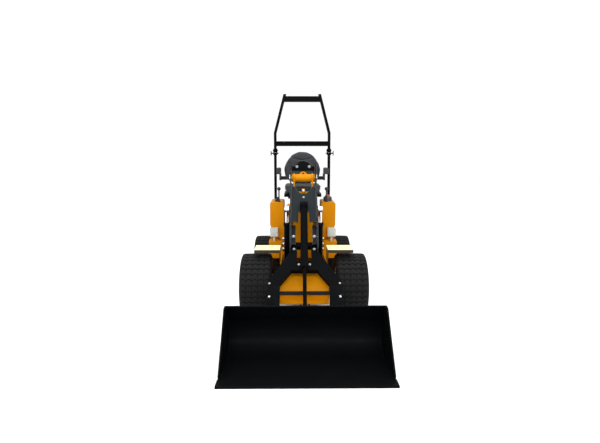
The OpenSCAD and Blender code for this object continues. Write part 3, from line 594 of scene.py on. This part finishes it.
def swell(piece, cap):
    """Inflates a closed mesh as cloth under pressure, each point moving cap metres at most."""
    start = points_of(piece.data)
    cloth = piece.modifiers.new("cloth", "CLOTH")
    cloth.settings.use_pressure = True
    cloth.settings.uniform_pressure_force = PAD_PRESSURE
    cloth.settings.effector_weights.gravity = 0.0
    cloth.settings.quality = PAD_QUALITY
    scene = bpy.context.scene
    for step in range(1, PAD_FRAMES + 1):
        scene.frame_set(step)
    shown = piece.evaluated_get(bpy.context.evaluated_depsgraph_get())
    shift = points_of(shown.data) - start
    piece.modifiers.remove(cloth)
    scene.frame_set(1)
    length = np.linalg.norm(shift, axis=1, keepdims=True)
    shift *= np.minimum(1.0, cap / np.maximum(length, NO_LENGTH))
    set_points(piece.data, start + shift)


def set_points(mesh, points):
    mesh.vertices.foreach_set("co", points.astype(np.float32).ravel())
    mesh.update()


def points_of(mesh):
    return np.array([v.co for v in mesh.vertices])


def remesh(piece):
    modifier = piece.modifiers.new("voxels", "REMESH")
    modifier.mode = "VOXEL"
    modifier.voxel_size = PAD_VOXEL
    modifier.use_smooth_shade = True
    bpy.context.view_layer.objects.active = piece
    bpy.ops.object.modifier_apply(modifier=modifier.name)


def pad_from(name, node, shrink, taper):
    """A padded copy of a soft solid: shrunk, tapered to its foot, remeshed and swelled.

    Its points stay in the solid's box.
    """
    low, high = (np.array(corner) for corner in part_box(node))
    middle = (low + high) / 2
    mesh = nodes[node].data.copy()
    mesh.name = name
    mesh.materials.clear()
    points = middle + (points_of(mesh) - middle) * (1 - 2 * shrink / (high - low))
    rise = (points[:, 2] - low[2]) / (high[2] - low[2])
    points[:, 0] *= taper + (1 - taper) * np.minimum(1.0, rise / TAPER_END)
    set_points(mesh, points)
    piece = add_piece(name, mesh, FINISHES["seat_vinyl"], "chassis")
    remesh(piece)
    swell(piece, PAD_CAP)
    set_points(piece.data, np.clip(points_of(piece.data), low, high))
    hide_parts(node)
    return piece, low, high


def groove(distance, size):
    """Depth of a sewn channel at a distance from its line."""
    width, depth = size
    return depth * np.exp(-((distance / width) ** 2))


def press(piece, depth_at):
    """Pushes the surface in along its normals by a depth at each point."""
    points = points_of(piece.data)
    normals = np.array([v.normal for v in piece.data.vertices])
    set_points(piece.data, points - normals * depth_at(points)[:, None])
    smooth = piece.modifiers.new("smooth", "SUBSURF")
    smooth.levels = 1
    smooth.render_levels = 1


def make_cushion():
    piece, _, high = pad_from("seat_pad", "seat_cushion", shrink=0.006, taper=0.84)
    welt_z = high[2] - WELT_DROP

    def seams(points):
        edge = groove(points[:, 2] - welt_z, WELT)
        rows = groove(np.abs(points[:, 0]) - CHANNEL_X, CHANNEL) * (points[:, 2] > welt_z)
        return np.maximum(edge, rows)

    press(piece, seams)


def make_backrest():
    piece, low, high = pad_from("seat_back_pad", "seat_back", shrink=0.005, taper=0.92)
    middle = (low[1] + high[1]) / 2

    def seams(points):
        across = np.abs(points[:, 0])
        line = high[2] - PANEL_DROP + PANEL_RISE * (across / PANEL_HALF) ** 2
        panel = groove(points[:, 2] - line, PANEL) * (across < PANEL_HALF)
        bolster = groove(across - BOLSTER_X, BOLSTER) * (points[:, 2] < line)
        front = points[:, 1] < middle
        side = groove(points[:, 1] - middle, SIDE_SEAM)
        return np.maximum(np.maximum(panel, bolster) * front, side)

    press(piece, seams)


# Fasteners and small fittings

# Node, body, distance from the middle, height and radius of the bolts that are seen from the front
FRONT_BOLTS = (
    ("boom_beam", "boom", 0.060, 1.373, 0.009),
    ("boom_beam", "boom", 0.000, 1.100, 0.007),
    ("boom_tower", "chassis", 0.000, 1.150, 0.008),
    ("boom_beam", "boom", 0.092, 0.778, 0.010),
    ("boom_fork", "boom", 0.088, 0.676, 0.008),
    ("boom_fork", "boom", 0.046, 0.566, 0.007),
    ("boom_fork", "boom", 0.290, 0.440, 0.006),
    ("boom_fork", "boom", 0.290, 0.345, 0.006),
)
# Washer, hexagon and chamfer: sides, foot radius, top radius, start and end, in bolt radii
BOLT_STACK = ((16, 1.5, 1.5, 0.0, 0.22), (6, 1.15, 1.15, 0.22, 0.85), (6, 1.15, 0.9, 0.85, 1.0))
AHEAD_Y = -4.0
WHEEL_NUTS = 5
NUT_CIRCLE = 0.062
NUT_RADIUS = 0.011
LENS_WIDTH = 0.068
LENS_HEIGHT = 0.074
LENS_MARGIN = 0.008
LENS_DEPTH = 0.0015
LENS_RIB = 0.0025
LENS_RIBS = 6
LENS_STEPS = 49
CAP_RIBS = 18
CAP_RIB_DEPTH = 0.006
CAP_RIB_WIDTH = 0.006
CAP_RIB_HEIGHT = 0.038
CAP_RIB_LIFT = 0.004
PIN_Y = 0.912
PIN_Z = 1.505
PIN_SIDES = 20
PIN_RADIUS = 0.0065
PIN_INNER = 0.262
PIN_OUTER = 0.345
HANDLE_RADIUS = 0.005
HANDLE_LENGTH = 0.05


def add_bolt(form, at, out, radius):
    """A hexagon head with a chamfer on a round washer, standing on a face that looks along out."""
    turn = Vector((0.0, 0.0, 1.0)).rotation_difference(out).to_matrix().to_4x4()
    for sides, foot, top, start, end in BOLT_STACK:
        middle = Matrix.Translation((0.0, 0.0, radius * (start + end) / 2))
        place = Matrix.Translation(at) @ turn @ middle
        add_cone(form, sides, radius * foot, radius * top, radius * (end - start), place)


def face_towards(node, start, way):
    """Where a straight line from start first meets a node, and which way the face there looks."""
    found, at, out, _ = nodes[node].ray_cast(Vector(start), Vector(way))
    if not found:
        raise ValueError(f"no face of {node} lies ahead of {start}")
    return at, out


def make_bolts():
    """Bolts on the boom and its tower, and nuts on the wheels, one piece for each body."""
    forms = defaultdict(bmesh.new)
    for node, body, across, height, radius in FRONT_BOLTS:
        for side in (-1, 1) if across else (1,):
            at, out = face_towards(node, (side * across, AHEAD_Y, height), (0.0, 1.0, 0.0))
            add_bolt(forms[body], at, out, radius)
    for corner in CORNERS:
        low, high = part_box(corner + "_rim")
        hub = (low + high) / 2
        side = 1 if hub.x > 0 else -1
        for k in range(WHEEL_NUTS):
            turn = 2 * math.pi * k / WHEEL_NUTS
            start = hub + Vector((side, NUT_CIRCLE * math.sin(turn), NUT_CIRCLE * math.cos(turn)))
            at, out = face_towards(corner + "_rim", start, (-side, 0.0, 0.0))
            add_bolt(forms[corner + "_wheel"], at, out, NUT_RADIUS)
    for body, form in forms.items():
        piece_from(form, body + "_bolts", BOLT_FINISH, body)


def make_fold_pins():
    """A locking pin with a cross handle under each fold of the roll bar."""
    form = bmesh.new()
    turn = Matrix.Rotation(math.pi / 2, 4, "Y")
    for side in (-1, 1):
        pin = Matrix.Translation((side * (PIN_INNER + PIN_OUTER) / 2, PIN_Y, PIN_Z)) @ turn
        handle = Matrix.Translation((side * PIN_OUTER, PIN_Y, PIN_Z))
        add_cone(form, PIN_SIDES, PIN_RADIUS, PIN_RADIUS, PIN_OUTER - PIN_INNER, pin)
        add_cone(form, PIN_SIDES, HANDLE_RADIUS, HANDLE_RADIUS, HANDLE_LENGTH, handle)
    piece_from(form, "fold_pins", FINISHES["black_paint"], "chassis")


def make_lenses():
    """A ribbed lens on the front of each work lamp."""
    low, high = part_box("work_lamps")
    form = bmesh.new()
    across = np.linspace(0.0, LENS_WIDTH, LENS_STEPS)
    ribs = LENS_DEPTH + LENS_RIB * np.abs(np.sin(math.pi * LENS_RIBS * across / LENS_WIDTH))
    start = high.x - LENS_MARGIN - LENS_WIDTH
    top_z = high.z - LENS_MARGIN
    for side in (-1, 1):
        front = [(side * (start + a), low.y - d) for a, d in zip(across, ribs)]
        outline = front + [(side * (start + LENS_WIDTH), low.y), (side * start, low.y)]
        foot = [form.verts.new((x, y, top_z - LENS_HEIGHT)) for x, y in outline]
        top = [form.verts.new((x, y, top_z)) for x, y in outline]
        bridge(form, foot, top)
        form.faces.new(list(reversed(foot)))
        form.faces.new(top)
    piece_from(form, "lamp_lenses", lens_finish(), "chassis")


def make_cap_ribs():
    """Grip ribs around the filler's neck."""
    low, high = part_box("filler_cap")
    middle = (low + high) / 2
    radius = (high.x - low.x) / 2
    form = bmesh.new()
    size = Matrix.Diagonal((CAP_RIB_DEPTH, CAP_RIB_WIDTH, CAP_RIB_HEIGHT, 1.0))
    place = Matrix.Translation((middle.x, middle.y, low.z + CAP_RIB_HEIGHT / 2 + CAP_RIB_LIFT))
    out = Matrix.Translation((radius + CAP_RIB_DEPTH / 4, 0.0, 0.0))
    for k in range(CAP_RIBS):
        turn = Matrix.Rotation(2 * math.pi * k / CAP_RIBS, 4, "Z")
        bmesh.ops.create_cube(form, size=1.0, matrix=place @ turn @ out @ size)
    piece_from(form, "cap_ribs", FINISHES["engine_iron"], "chassis")


make_camera()
make_studio()
finish_nodes()
make_tyres()
make_cushion()
make_backrest()
make_bolts()
make_fold_pins()
make_lenses()
make_cap_ribs()
